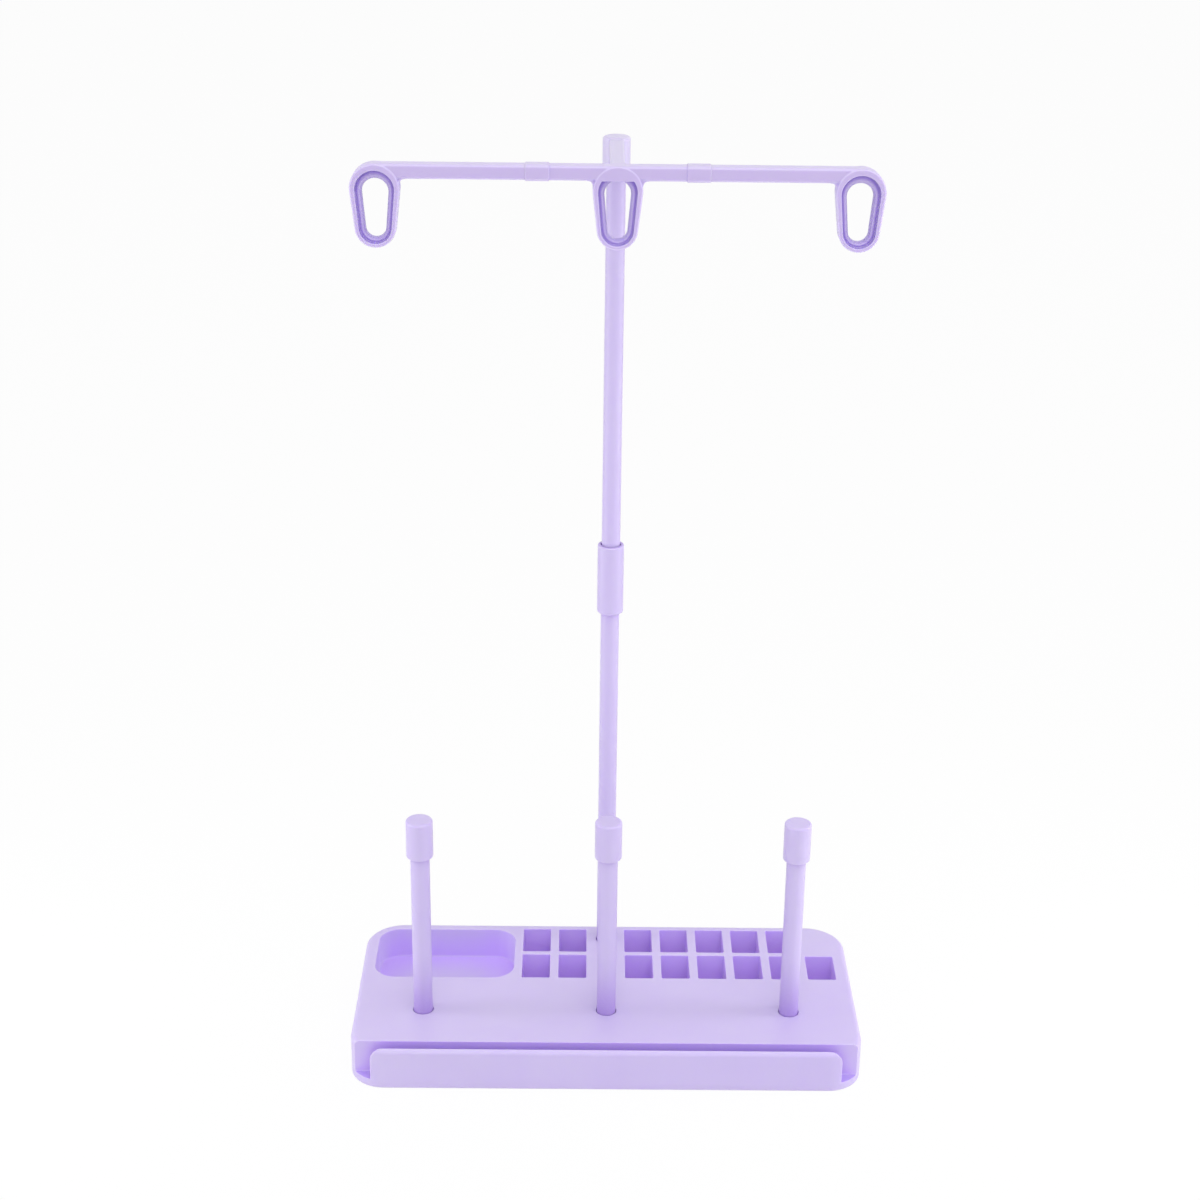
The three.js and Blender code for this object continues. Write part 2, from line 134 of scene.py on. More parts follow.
# Turned pieces
SHAFT_END_ROUND = 0.8
CAP_BORE_DEPTH = 14.0
CAP_BORE_ROUND = 0.12
CAP_SHOULDER = 0.25
CAP_LIP_WALL = 1.4
CAP_LIP_HEIGHT = 0.25
CAP_LIP_ROUND = 0.1
CAP_LIP_FILLET = 0.05
CAP_TOP_ROUND = 1.1
COUPLER_LENGTH = 35.8
COUPLER_BORE_DEPTH = 28.0
COUPLER_SHOULDER = 1.4
COUPLER_FOOT_FILLET = 0.3
COUPLER_RIM_ROUND = 0.7
COUPLER_BORE_ROUND = 0.3
UPPER_POLE_RADIUS = 4.4

# Guide head and bar, about the middle of the bar's top
HEAD_RADIUS = 6.25
HEAD_HEIGHT = 18.0
HEAD_BORE_DEPTH = 14.0
HEAD_CROWN = 0.6
HEAD_TOP_ROUND = 1.5
ARM_REACH = 60.0
ARM_ROOT_WIDTH = 6.6
ARM_TIP_WIDTH = 5.7
ARM_EDGE_ROUND = 0.8
BAR_HEIGHT = 6.3
BAR_THICKNESS = 7.2
BAR_EDGE_ROUND = 1.3
SLEEVE_START = 28.9
SLEEVE_END = 38.9
SLEEVE_SWELL = 0.4
SLEEVE_END_ROUND = 0.35
TENON_HEIGHT = 4.2
TENON_THICKNESS = 5.0
TENON_LENGTH = 9.0
TENON_ROUND = 0.5
EYE_PITCH = 101.9
EYE_HEIGHT = 35.5
EYE_TOP_RADIUS = 10.6
EYE_BOTTOM_RADIUS = 8.8
EYE_THICKNESS = 8.0
EYE_EDGE_ROUND = 0.9
EYE_TOP_RIM = 2.9
EYE_BOTTOM_RIM = 1.7
MOUTH_TOP_RADIUS = 8.3
MOUTH_BOTTOM_RADIUS = 6.9
MOUTH_RECESS = 2.6
THROAT_TOP_RIM = 6.75
THROAT_BOTTOM_RIM = 3.75
THROAT_TOP_RADIUS = 5.6
THROAT_BOTTOM_RADIUS = 4.3
THROAT_ROLL_DEPTH = 2.6
ROLL_CREST_SHARE = 0.4
MOUTH_ROUND = 0.5
MOUTH_FOOT_ROUND = 0.9
BACK_LIP_ROUND = 0.8
BAR_FILLET = 2.2
WEB_EDGE_ROUND = 0.4

# Soft edges where the guide's forms meet
WEB_BLEND = 0.4
EYE_BLEND = 0.35
ARM_BLEND = 0.8
SOCKET_BLEND = 0.6
BORE_RIM_ROUND = 0.3
TENON_POCKET_ROUND = 0.25
SHOULDER_ROUND = 0.05
OVERLAP = 1.0
SEAM_GAP = 0.03

# Fineness of the turned pieces and the base; a cutter stands PAST the surface it opens
PAST = 1.0
TURNED_SEGMENTS = 72
CORNER_STEPS = 20
SMALL_CORNER_STEPS = 5
EDGE_STEPS = 5
ON_AXIS = 1e-6
SMOOTH_ANGLE = math.radians(33)
NORMAL_WEIGHT = 90
MERGED_WITHIN_M = 2e-6
SHORTEST_EDGE_M = 1e-6

# Grid that the guide pieces are netted on, and how the net is pulled onto the surface
FINE_STEP = 0.32
LONG_STEP = 1.6
SEAM_STEP = 0.18
GRID_HALF_DEPTH = 4.8
GRID_LOW = -36.2
GRID_HIGH = 1.2
GRID_MARGIN = 0.6
RING_MARGIN = 0.5
POCKET_MARGIN = 0.5
TENON_TIP_MARGIN = 1.0
SOCKET_MARGIN = 1.5
SLOPE_REACH = 0.02
PULL_ROUNDS = 3
LONGEST_PULL = 0.15
LEAST_STEEPNESS = 0.2
SHORTEST_PUSH = 1e-9

BASE_FRONT = -BASE_DEPTH / 2
BASE_BACK = BASE_DEPTH / 2
BLOCK_FRONT = BASE_FRONT + WALL_THICKNESS + SLOT_WIDTH
POCKET_BACK = BASE_BACK - POCKET_BACK_MARGIN
POCKET_BOTTOM = DECK_TOP - POCKET_DEPTH
POCKET_FRONT = POCKET_BACK - 2 * BOBBIN_LENGTH - BOBBIN_ROW_LAND
SOCKET_SEAT = DECK_TOP - SOCKET_DEPTH
TRAY_LEFT = -BASE_LENGTH / 2 + TRAY_SIDE_MARGIN
TRAY_RIGHT = TRAY_LEFT + TRAY_LENGTH
TRAY_BACK = BASE_BACK - TRAY_BACK_MARGIN
TRAY_FRONT = TRAY_BACK - TRAY_WIDTH
PIN_XS = (-PIN_PITCH, 0.0, PIN_PITCH)


def make_camera():
    cos_pitch = math.cos(CAMERA_PITCH)
    forward = Vector((
        math.sin(CAMERA_YAW) * cos_pitch,
        math.cos(CAMERA_YAW) * cos_pitch,
        math.sin(CAMERA_PITCH),
    ))
    level = Vector((math.cos(CAMERA_YAW), -math.sin(CAMERA_YAW), 0.0))
    upright = level.cross(forward)
    right = level * math.cos(CAMERA_ROLL) + upright * math.sin(CAMERA_ROLL)
    up = upright * math.cos(CAMERA_ROLL) - level * math.sin(CAMERA_ROLL)
    data = bpy.data.cameras.new("photo_camera")
    data.sensor_fit = "HORIZONTAL"
    data.sensor_width = SENSOR_MM
    data.lens = FOCAL_LENGTH_PX / PHOTO_WIDTH_PX * SENSOR_MM
    data.clip_start = CAMERA_NEAR
    data.clip_end = CAMERA_FAR
    camera = bpy.data.objects.new("photo_camera", data)
    turned = Matrix((right, up, -forward)).transposed().to_4x4()
    camera.matrix_world = Matrix.Translation(CAMERA_PLACE_MM * MM) @ turned
    bpy.context.scene.collection.objects.link(camera)
    bpy.context.scene.camera = camera


class Graph:
    """Adds nodes to a node tree, with input values or links by name or number."""

    MIX_COLOURS = (6, 7)
    MIXED_COLOUR = 2

    def __init__(self, tree):
        self.tree = tree
        tree.nodes.clear()

    def add(self, kind, links=None, values=None, **settings):
        node = self.tree.nodes.new(kind)
        for key, value in settings.items():
            setattr(node, key, value)
        for key, value in (values or {}).items():
            node.inputs[key].default_value = value
        for key, output in (links or {}).items():
            self.tree.links.new(output, node.inputs[key])
        return node

    def noise(self, where, scale, detail=2.0, roughness=0.5):
        values = {"Scale": scale, "Detail": detail, "Roughness": roughness}
        return self.add("ShaderNodeTexNoise", {"Vector": where}, values).outputs["Fac"]

    def ranged(self, value, from_low, from_high, to_low, to_high):
        values = {1: from_low, 2: from_high, 3: to_low, 4: to_high}
        return self.add("ShaderNodeMapRange", {0: value}, values).outputs[0]

    def maths(self, operation, a, b):
        links, values = {}, {}
        for slot, item in enumerate((a, b)):
            if isinstance(item, (int, float)):
                values[slot] = item
            else:
                links[slot] = item
        return self.add("ShaderNodeMath", links, values, operation=operation).outputs[0]

    def both(self, a, b):
        return self.maths("MULTIPLY", a, b)

    def above(self, value, limit):
        return self.maths("GREATER_THAN", value, limit)

    def under(self, value, limit):
        return self.maths("LESS_THAN", value, limit)

    def size(self, value):
        return self.maths("ABSOLUTE", value, 0.0)

    def axes(self, vector):
        return self.add("ShaderNodeSeparateXYZ", {"Vector": vector}).outputs

    def mixed_colour(self, share, colour_a, colour_b):
        links, values = {"Factor": share}, {}
        for slot, item in zip(self.MIX_COLOURS, (colour_a, colour_b)):
            if isinstance(item, tuple):
                values[slot] = item
            else:
                links[slot] = item
        mix = self.add("ShaderNodeMix", links, values, data_type="RGBA")
        return mix.outputs[self.MIXED_COLOUR]

    def open_share(self, reach, only_local=True):
        """How open the surface lies: 1 on a plain face, less where something rises near it."""
        shade = self.add(
            "ShaderNodeAmbientOcclusion", values={"Distance": reach}, samples=OPEN_SAMPLES,
            only_local=only_local,
        )
        return shade.outputs["AO"]

    def seen_share(self):
        """1 for the rays that see the background, 0 for those that light the object."""
        paths = self.add("ShaderNodeLightPath").outputs
        mirrored = self.maths("MAXIMUM", paths["Is Glossy Ray"], paths["Is Transmission Ray"])
        return self.maths("MAXIMUM", paths["Is Camera Ray"], mirrored)


def make_world():
    world = bpy.data.worlds.new("white_room")
    bpy.context.scene.world = world
    world.use_nodes = True
    g = Graph(world.node_tree)
    lit = g.add("ShaderNodeBackground", values={"Strength": WORLD_LIGHT})
    seen = g.add("ShaderNodeBackground", values={"Strength": 1.0})
    for background in (lit, seen):
        background.inputs["Color"].default_value = (1.0, 1.0, 1.0, 1.0)
    mix = g.add("ShaderNodeMixShader", {0: g.seen_share(), 1: lit.outputs[0], 2: seen.outputs[0]})
    g.add("ShaderNodeOutputWorld", {"Surface": mix.outputs[0]})


def make_floor():
    mesh = bpy.data.meshes.new("floor")
    w = FLOOR_HALF_WIDTH
    mesh.from_pydata([(-w, -w, 0), (w, -w, 0), (w, w, 0), (-w, w, 0)], [], [(0, 1, 2, 3)])
    floor = bpy.data.objects.new("floor", mesh)
    bpy.context.scene.collection.objects.link(floor)
    material = bpy.data.materials.new("white_floor")
    material.use_nodes = True
    g = Graph(material.node_tree)
    albedo = (FLOOR_ALBEDO, FLOOR_ALBEDO, FLOOR_ALBEDO, 1.0)
    matt = g.add("ShaderNodeBsdfDiffuse", values={"Color": albedo})
    glow = g.add("ShaderNodeEmission", values={"Strength": 1.0})
    share = g.both(g.seen_share(), FLOOR_GLOW)
    mix = g.add("ShaderNodeMixShader", {0: share, 1: matt.outputs[0], 2: glow.outputs[0]})
    g.add("ShaderNodeOutputMaterial", {"Surface": mix.outputs[0]})
    mesh.materials.append(material)


def add_lamp(name, place, aim, size, watts):
    """Soft box that faces a point and isn't seen itself."""
    data = bpy.data.lights.new(name, "AREA")
    data.shape = "RECTANGLE"
    data.size, data.size_y = size
    data.energy = watts
    lamp = bpy.data.objects.new(name, data)
    lamp.visible_camera = False
    lamp.location = place
    lamp.rotation_mode = "QUATERNION"
    lamp.rotation_quaternion = (Vector(aim) - Vector(place)).to_track_quat("-Z", "Y")
    bpy.context.scene.collection.objects.link(lamp)


# Colours of the plastic, and of the painted highlights, shade and glow laid on it, with the last
# number for full cover
BASE_COLOUR = (0.632, 0.550, 0.835, 1.0)
CLOUD_COLOUR = (0.612, 0.522, 0.835, 1.0)
# painted highlight, on the bar's rounds, the tray's side walls and along edges
HIGHLIGHT_COLOUR = (0.760, 0.690, 0.930, 1.0)
# painted shade on the bar's front face
BAR_FACE_SHADE_COLOUR = (0.590, 0.490, 0.790, 1.0)
# painted highlight on the head's socket and the arm behind the bar
HEAD_HIGHLIGHT_COLOUR = (0.695, 0.632, 0.868, 1.0)
# painted violet shade in the base's hollows
HOLLOW_SHADE_COLOUR = (0.640, 0.485, 0.965, 1.0)
# painted glow in the deep pockets
DEEP_GLOW_COLOUR = (0.750, 0.565, 1.000, 1.0)
GROOVE_COLOUR = (0.370, 0.265, 0.700, 1.0)
# painted shade and deck reflection on the pins and the pole near the deck
SHAFT_FOOT_SHADE_COLOUR = (0.440, 0.310, 0.720, 1.0)

# What the colours go by, in metres
GUIDE_LEVEL = 0.30
GUIDE_BAR_BACK = -0.0118
HOLLOW_REACH = 0.022
GROOVE_REACH = 0.0055
SHAFT_FOOT_REACH = 0.034
OPEN_SAMPLES = 8
SHAFT_MARK = "shaft"

# Ranges: from the first number to the second, the result goes from the third to the fourth
CLOUD_RANGE = (0.55, 0.95, 0.0, 1.0)
BAR_FACE_SHADE_RANGE = (0.92, 0.98, 0.0, 0.8)
BAR_ROUND_HIGHLIGHT_RANGE = (0.98, 0.88, 0.0, 0.5)
HOLLOW_SHADE_RANGE = (0.60, 0.97, 1.0, 0.0)
DEEP_GLOW_RANGE = (0.10, 0.45, 1.0, 0.0)
TRAY_SIDE_HIGHLIGHT_RANGE = (0.5, 0.95, 0.0, 0.6)
BASE_GROOVE_RANGE = (0.15, 0.50, 0.5, 0.0)
EYE_GROOVE_RANGE = (0.62, 0.98, 1.0, 0.0)
EYE_MOUTH_RANGE = (0.62, 0.97, 0.75, 0.0)
SLOT_FLOOR_RANGE = (0.5, 0.9, 0.0, 0.57)
SHAFT_FOOT_SHADE_RANGE = (0.50, 0.97, 1.0, 0.0)
# painted edge highlight, and the noise that makes it patchy
EDGE_HIGHLIGHT_RANGE = (0.997, 0.88, 0.0, 1.0)
HIGHLIGHT_PATCH_RANGE = (0.3, 0.7, 0.25, 0.8)
ROUGHNESS_RANGE = (0.3, 0.7, 0.32, 0.42)

# Fine marks of the moulding, and patches of the painted edge highlight: noise per metre, and how
# strongly each counts
CLOUD_SCALE = 14.0
CLOUD_DETAIL = 3.0
FLOW_SCALE = 60.0
FLOW_DETAIL = 4.0
FLOW_ROUGHNESS = 0.6
FLOW_STRETCH = (1.0, 1.0, 0.25)
FLOW_SHARE = 0.5
# size of the patches in the painted edge highlight
HIGHLIGHT_PATCH_SCALE = 180.0
GLOSS_SCALE = 90.0
GLOSS_DETAIL = 3.0
PEEL_SCALE = 420.0
GRAIN_SCALE = 2600.0
GRAIN_SHARE = 0.35
BUMP = {"Strength": 0.10, "Distance": 0.0002}
# reach and samples of the painted edge highlight
EDGE_HIGHLIGHT_RADIUS = 0.0006
EDGE_HIGHLIGHT_SAMPLES = 6
PLASTIC = {
    "IOR": 1.5,
    "Subsurface Weight": 0.5,
    "Subsurface Radius": (1.0, 0.8, 1.2),
    "Subsurface Scale": 0.0012,
}


def frame_top():
    """Height of the guide bar's top in mm, from the CAD head's box."""
    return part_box("guide_head")[1][2] / MM - HEAD_CROWN


def clouded_tint(g, place):
    """Faint clouds, and flow marks that run upright."""
    cloud = g.noise(place, CLOUD_SCALE, CLOUD_DETAIL)
    streaked = g.add("ShaderNodeMapping", {"Vector": place}, {"Scale": FLOW_STRETCH}).outputs[0]
    flow = g.noise(streaked, FLOW_SCALE, FLOW_DETAIL, FLOW_ROUGHNESS)
    clouded = g.maths("ADD", cloud, g.both(flow, FLOW_SHARE))
    return g.mixed_colour(g.ranged(clouded, *CLOUD_RANGE), BASE_COLOUR, CLOUD_COLOUR)


def guide_painted_light(g, tint, at, facing, is_bar):
    """Painted shade on the bar's front face, painted highlights on its rounds, and a painted
    highlight on the arm and socket behind it.
    """
    flatness = g.size(facing["Y"])
    is_face = g.both(g.ranged(flatness, *BAR_FACE_SHADE_RANGE), is_bar)
    is_round = g.both(g.ranged(flatness, *BAR_ROUND_HIGHLIGHT_RANGE), is_bar)
    tint = g.mixed_colour(is_face, tint, BAR_FACE_SHADE_COLOUR)
    tint = g.mixed_colour(is_round, tint, HIGHLIGHT_COLOUR)
    head_foot = (frame_top() - HEAD_HEIGHT) * MM
    is_head = g.both(g.above(at["Z"], head_foot), g.above(at["Y"], GUIDE_BAR_BACK))
    return g.mixed_colour(is_head, tint, HEAD_HIGHLIGHT_COLOUR)


def hollow_painted_light(g, tint, at, facing, hollow_open, is_below):
    """Painted violet shade in the base's hollows, a painted glow in the deep pockets and painted
    highlights on the tray's side walls, standing in for light that bounces in the hollows and comes
    through the plastic.
    """
    hollow = g.both(g.ranged(hollow_open, *HOLLOW_SHADE_RANGE), is_below)
    tint = g.mixed_colour(hollow, tint, HOLLOW_SHADE_COLOUR)
    in_pocket = g.both(is_below, g.above(at["Y"], PIN_Y * MM))
    deep_glow = g.both(g.ranged(hollow_open, *DEEP_GLOW_RANGE), in_pocket)
    tint = g.mixed_colour(deep_glow, tint, DEEP_GLOW_COLOUR)
    in_tray = g.both(in_pocket, g.under(at["X"], TRAY_RIGHT * MM))
    sideways = g.ranged(g.size(facing["X"]), *TRAY_SIDE_HIGHLIGHT_RANGE)
    return g.mixed_colour(g.both(sideways, g.both(hollow, in_tray)), tint, HIGHLIGHT_COLOUR)


def groove_tint(g, tint, at, facing, hollow_open, is_bar):
    """Shade in narrow gaps, in the eyes' mouths and on the pattern slot's floor."""
    groove_open = g.open_share(GROOVE_REACH)
    base_groove = g.ranged(groove_open, *BASE_GROOVE_RANGE)
    eye_groove = g.ranged(groove_open, *EYE_GROOVE_RANGE)
    eye_mouth = g.ranged(hollow_open, *EYE_MOUTH_RANGE)
    guide_groove = g.both(g.maths("MAXIMUM", eye_groove, eye_mouth), is_bar)
    floor_top = (LIP_THICKNESS + SLOT_FOOT_FILLET) * MM
    in_slot = g.both(g.under(at["Y"], BLOCK_FRONT * MM), g.under(at["Z"], floor_top))
    slot_floor = g.both(g.ranged(facing["Z"], *SLOT_FLOOR_RANGE), in_slot)
    groove = g.maths("MAXIMUM", g.maths("MAXIMUM", base_groove, guide_groove), slot_floor)
    return g.mixed_colour(groove, tint, GROOVE_COLOUR)


def shaft_foot_painted_shade(g, tint):
    """Painted violet shade and reflection of the deck on the pins and the pole where they come near
    it, at any pose.
    """
    near_deck = g.ranged(g.open_share(SHAFT_FOOT_REACH, only_local=False), *SHAFT_FOOT_SHADE_RANGE)
    is_shaft = g.add("ShaderNodeAttribute", attribute_name=SHAFT_MARK).outputs["Fac"]
    return g.mixed_colour(g.both(near_deck, is_shaft), tint, SHAFT_FOOT_SHADE_COLOUR)


def painted_edge_highlight(g, tint, place):
    """Painted highlights along the edges, made patchy by noise."""
    bevel = g.add(
        "ShaderNodeBevel", values={"Radius": EDGE_HIGHLIGHT_RADIUS}, samples=EDGE_HIGHLIGHT_SAMPLES,
    )
    flat = g.add("ShaderNodeNewGeometry")
    along = g.add(
        "ShaderNodeVectorMath",
        {0: bevel.outputs[0], 1: flat.outputs["Normal"]},
        operation="DOT_PRODUCT",
    ).outputs["Value"]
    edge = g.ranged(along, *EDGE_HIGHLIGHT_RANGE)
    highlight_patches = g.ranged(g.noise(place, HIGHLIGHT_PATCH_SCALE), *HIGHLIGHT_PATCH_RANGE)
    return g.mixed_colour(g.both(edge, highlight_patches), tint, HIGHLIGHT_COLOUR)


def moulded_plastic():
    material = bpy.data.materials.new(SLOT)
    material.use_nodes = True
    g = Graph(material.node_tree)
    where = g.add("ShaderNodeTexCoord").outputs
    place = where["Object"]
    at = g.axes(place)
    facing = g.axes(where["Normal"])
    is_high = g.above(at["Z"], GUIDE_LEVEL)
    is_below = g.maths("SUBTRACT", 1.0, is_high)
    is_bar = g.both(is_high, g.under(at["Y"], GUIDE_BAR_BACK))
    hollow_open = g.open_share(HOLLOW_REACH)

    tint = clouded_tint(g, place)
    tint = guide_painted_light(g, tint, at, facing, is_bar)
    tint = hollow_painted_light(g, tint, at, facing, hollow_open, is_below)
    tint = groove_tint(g, tint, at, facing, hollow_open, is_bar)
    tint = shaft_foot_painted_shade(g, tint)
    tint = painted_edge_highlight(g, tint, place)

    roughness = g.ranged(g.noise(place, GLOSS_SCALE, GLOSS_DETAIL), *ROUGHNESS_RANGE)
    grain = g.both(g.noise(place, GRAIN_SCALE), GRAIN_SHARE)
    height = g.maths("ADD", g.noise(place, PEEL_SCALE), grain)
    bump = g.add("ShaderNodeBump", {"Height": height}, BUMP).outputs[0]
    shader = g.add(
        "ShaderNodeBsdfPrincipled",
        {"Base Color": tint, "Roughness": roughness, "Normal": bump},
        PLASTIC,
    )
    g.add("ShaderNodeOutputMaterial", {"Surface": shader.outputs[0]})
    return material


# Mesh building in millimetres, scaled to metres when the piece is placed


def round_corners(corners, steps, closed=True):
    """Points through the corners (u, v, radius), each corner with a radius turned into an arc."""
    count = len(corners)
    points = []
    for i, (u, v, radius) in enumerate(corners):
        here = Vector((u, v))
        is_end = not closed and i in (0, count - 1)
        if radius == 0 or is_end:
            points.append((u, v))
            continue
        before = (Vector(corners[i - 1][:2]) - here).normalized()
        after = (Vector(corners[(i + 1) % count][:2]) - here).normalized()
        half = before.angle(after) / 2
        centre = here + (before + after).normalized() * (radius / math.sin(half))
        start = here + before * (radius / math.tan(half)) - centre
        end = here + after * (radius / math.tan(half)) - centre
        turn = math.pi - 2 * half
        for step in range(steps + 1):
            share = step / steps
            a = math.sin((1 - share) * turn) / math.sin(turn)
            b = math.sin(share * turn) / math.sin(turn)
            points.append(tuple(centre + start * a + end * b))
    return points


def rectangle(x_min, x_max, y_min, y_max, front_radius, back_radius, steps):
    corners = [
        (x_min, y_min, front_radius),
        (x_max, y_min, front_radius),
        (x_max, y_max, back_radius),
        (x_min, y_max, back_radius),
    ]
    return round_corners(corners, steps)


def mesh_of(vertices, faces):
    mesh = bpy.data.meshes.new("shape")
    mesh.from_pydata([tuple(c * MM for c in v) for v in vertices], [], faces)
    return mesh


def loft(sections):
    """Closed solid through loops of 3-D points with matching counts, flat at both ends."""
    count = len(sections[0])
    vertices = [point for section in sections for point in section]
    faces = [tuple(reversed(range(count)))]
    for level in range(len(sections) - 1):
        for i in range(count):
            a = level * count + i
            b = level * count + (i + 1) % count
            faces.append((a, b, b + count, a + count))
    top = (len(sections) - 1) * count
    faces.append(tuple(range(top, top + count)))
    return mesh_of(vertices, faces)


def level_loft(sections):
    """Loft through (z, flat outline) pairs, lowest first."""
    return loft([[(x, y, z) for x, y in outline] for z, outline in sections])


def quarter(radius):
    """Steps (along, across) of a quarter round, from flush with one face to flush with the next."""
    for step in range(EDGE_STEPS + 1):
        angle = math.pi / 2 * step / EDGE_STEPS
        yield radius * math.sin(angle), radius * (1 - math.cos(angle))


def turned(corners):
    """Solid turned about the upright axis from corners (radius, z, round), axis to axis."""
    profile = round_corners(corners, EDGE_STEPS, closed=False)
    vertices, rings = [], []
    for radius, z in profile:
        if radius < ON_AXIS:
            rings.append([len(vertices)] * TURNED_SEGMENTS)
            vertices.append((0.0, 0.0, z))
            continue
        rings.append(list(range(len(vertices), len(vertices) + TURNED_SEGMENTS)))
        for step in range(TURNED_SEGMENTS):
            angle = 2 * math.pi * step / TURNED_SEGMENTS
            vertices.append((radius * math.cos(angle), radius * math.sin(angle), z))
    faces = []
    for low, high in zip(rings, rings[1:]):
        for i in range(TURNED_SEGMENTS):
            j = (i + 1) % TURNED_SEGMENTS
            corners_here = (low[i], low[j], high[j], high[i])
            faces.append(tuple(dict.fromkeys(corners_here)))
    return mesh_of(vertices, faces)


def moved(mesh, x, y, z):
    mesh.transform(Matrix.Translation(Vector((x, y, z)) * MM))
    return mesh


def merged(meshes):
    """One mesh with the given closed shells side by side."""
    shape = bmesh.new()
    for mesh in meshes:
        shape.from_mesh(mesh)
    whole = bpy.data.meshes.new("shape")
    shape.to_mesh(whole)
    shape.free()
    return whole


def cut(mesh, tool):
    """What is left of a closed mesh when a closed tool is taken away from it."""
    body = bpy.data.objects.new("body", mesh)
    cutter = bpy.data.objects.new("cutter", tool)
    for thing in (body, cutter):
        bpy.context.scene.collection.objects.link(thing)
    boolean = body.modifiers.new("cut", "BOOLEAN")
    boolean.operation = "DIFFERENCE"
    boolean.solver = "EXACT"
    boolean.object = cutter
    graph = bpy.context.evaluated_depsgraph_get()
    result = bpy.data.meshes.new_from_object(body.evaluated_get(graph))
    for thing in (body, cutter):
        bpy.data.objects.remove(thing)
    return result


def place_piece(name, mesh, node, body):
    """Put a finished mesh in the scene in place of a CAD node."""
    piece = bpy.data.objects.new(name, mesh)
    mesh.name = name
    bpy.context.scene.collection.objects.link(piece)
    mesh.materials.clear()
    mesh.materials.append(plastic)
    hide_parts(node)
    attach(piece, body)
    return piece


def smooth_by_angle(piece):
    mesh = piece.data
    mesh.shade_smooth()
    mesh.set_sharp_from_angle(angle=SMOOTH_ANGLE)
    weighted = piece.modifiers.new("even_normals", "WEIGHTED_NORMAL")
    weighted.keep_sharp = True
    weighted.weight = NORMAL_WEIGHT


def base_outline(inset):
    half_length = BASE_LENGTH / 2 - inset
    half_depth = BASE_DEPTH / 2 - inset
    radii = (FRONT_RADIUS - inset, BACK_RADIUS - inset)
    return rectangle(-half_length, half_length, -half_depth, half_depth, *radii, CORNER_STEPS)


def base_body():
    foot = [(FOOT_ROUND - rise, base_outline(inset)) for rise, inset in quarter(FOOT_ROUND)]
    top = [(DECK_TOP - TOP_ROUND + rise, base_outline(inset)) for rise, inset in quarter(TOP_ROUND)]
    return level_loft(foot[::-1] + top)


def pocket_cutter(outline_at, bottom, fillet, rim_round):
    """Cutter with a fillet round its floor and a rim that rolls over onto the deck."""
    sections = [
        (bottom + fillet - rise, outline_at(inset)) for rise, inset in quarter(fillet)
    ][::-1]
    for rise, grow in quarter(rim_round):
        sections.append((DECK_TOP - rim_round + rise, outline_at(-grow)))
    sections.append((DECK_TOP + PAST, outline_at(-rim_round)))
    return level_loft(sections)


def bobbin_slots():
    """Left and back edges of the slots, column by column away from the pole."""
    left_columns = [-POLE_LAND / 2 - BOBBIN_WIDTH - i * BOBBIN_PITCH for i in range(LEFT_COLUMNS)]
    right_columns = [POLE_LAND / 2 + i * BOBBIN_PITCH for i in range(RIGHT_COLUMNS)]
    front_row = POCKET_BACK - BOBBIN_LENGTH - BOBBIN_ROW_LAND
    backs = [(x, POCKET_BACK) for x in left_columns + right_columns[:RIGHT_BACK_COLUMNS]]
    return backs + [(x, front_row) for x in left_columns + right_columns]


def bobbin_cutter(left, back):
    def outline_at(inset):
        radius = BOBBIN_CORNER_RADIUS - inset
        return rectangle(
            left + inset, left + BOBBIN_WIDTH - inset,
            back - BOBBIN_LENGTH + inset, back - inset,
            radius, radius, SMALL_CORNER_STEPS,
        )
    return pocket_cutter(outline_at, POCKET_BOTTOM, POCKET_FLOOR_FILLET, POCKET_RIM_ROUND)


def tray_outline(inset):
    radius = TRAY_RADIUS - inset
    return rectangle(
        TRAY_LEFT + inset, TRAY_RIGHT - inset,
        TRAY_FRONT + inset, TRAY_BACK - inset,
        radius, radius, CORNER_STEPS,
    )


def circle(x, y, radius):
    angles = [2 * math.pi * i / TURNED_SEGMENTS for i in range(TURNED_SEGMENTS)]
    return [(x + radius * math.cos(a), y + radius * math.sin(a)) for a in angles]


def socket_cutter(x, y, radius):
    sections = [(SOCKET_SEAT, circle(x, y, radius))]
    for rise, grow in quarter(SOCKET_RIM_ROUND):
        sections.append((DECK_TOP - SOCKET_RIM_ROUND + rise, circle(x, y, radius + grow)))
    sections.append((DECK_TOP + PAST, circle(x, y, radius + SOCKET_RIM_ROUND)))
    return level_loft(sections)


def wall_point(x, z, depth):
    """Place of a panel point at some depth behind the base's front, bent round its corners."""
    straight = BASE_LENGTH / 2 - FRONT_RADIUS
    if abs(x) <= straight:
        return (x, BASE_FRONT + depth, z)
    side = math.copysign(1.0, x)
    angle = math.asin((abs(x) - straight) / FRONT_RADIUS)
    radius = FRONT_RADIUS - depth
    middle_y = BASE_FRONT + FRONT_RADIUS
    return (side * (straight + radius * math.sin(angle)), middle_y - radius * math.cos(angle), z)


def panel_outline(inset):
    """Front wall's outline in x and z, with points along its straights so that it can bend."""
    half = WALL_LENGTH / 2 - inset
    top = DECK_TOP - inset
    radius = WALL_CORNER_RADIUS - inset
    foot = LIP_THICKNESS - PAST
    bend = BASE_LENGTH / 2 - FRONT_RADIUS
    foot_xs = [half - (half - bend) * i / EDGE_STEPS for i in range(EDGE_STEPS + 1)]
    corners = [(half, foot, 0), (half, top, radius), (-half, top, radius), (-half, foot, 0)]
    outline = round_corners(corners, CORNER_STEPS)
    return [(-x, foot) for x in foot_xs[1:]] + [(x, foot) for x in reversed(foot_xs[1:])] + outline


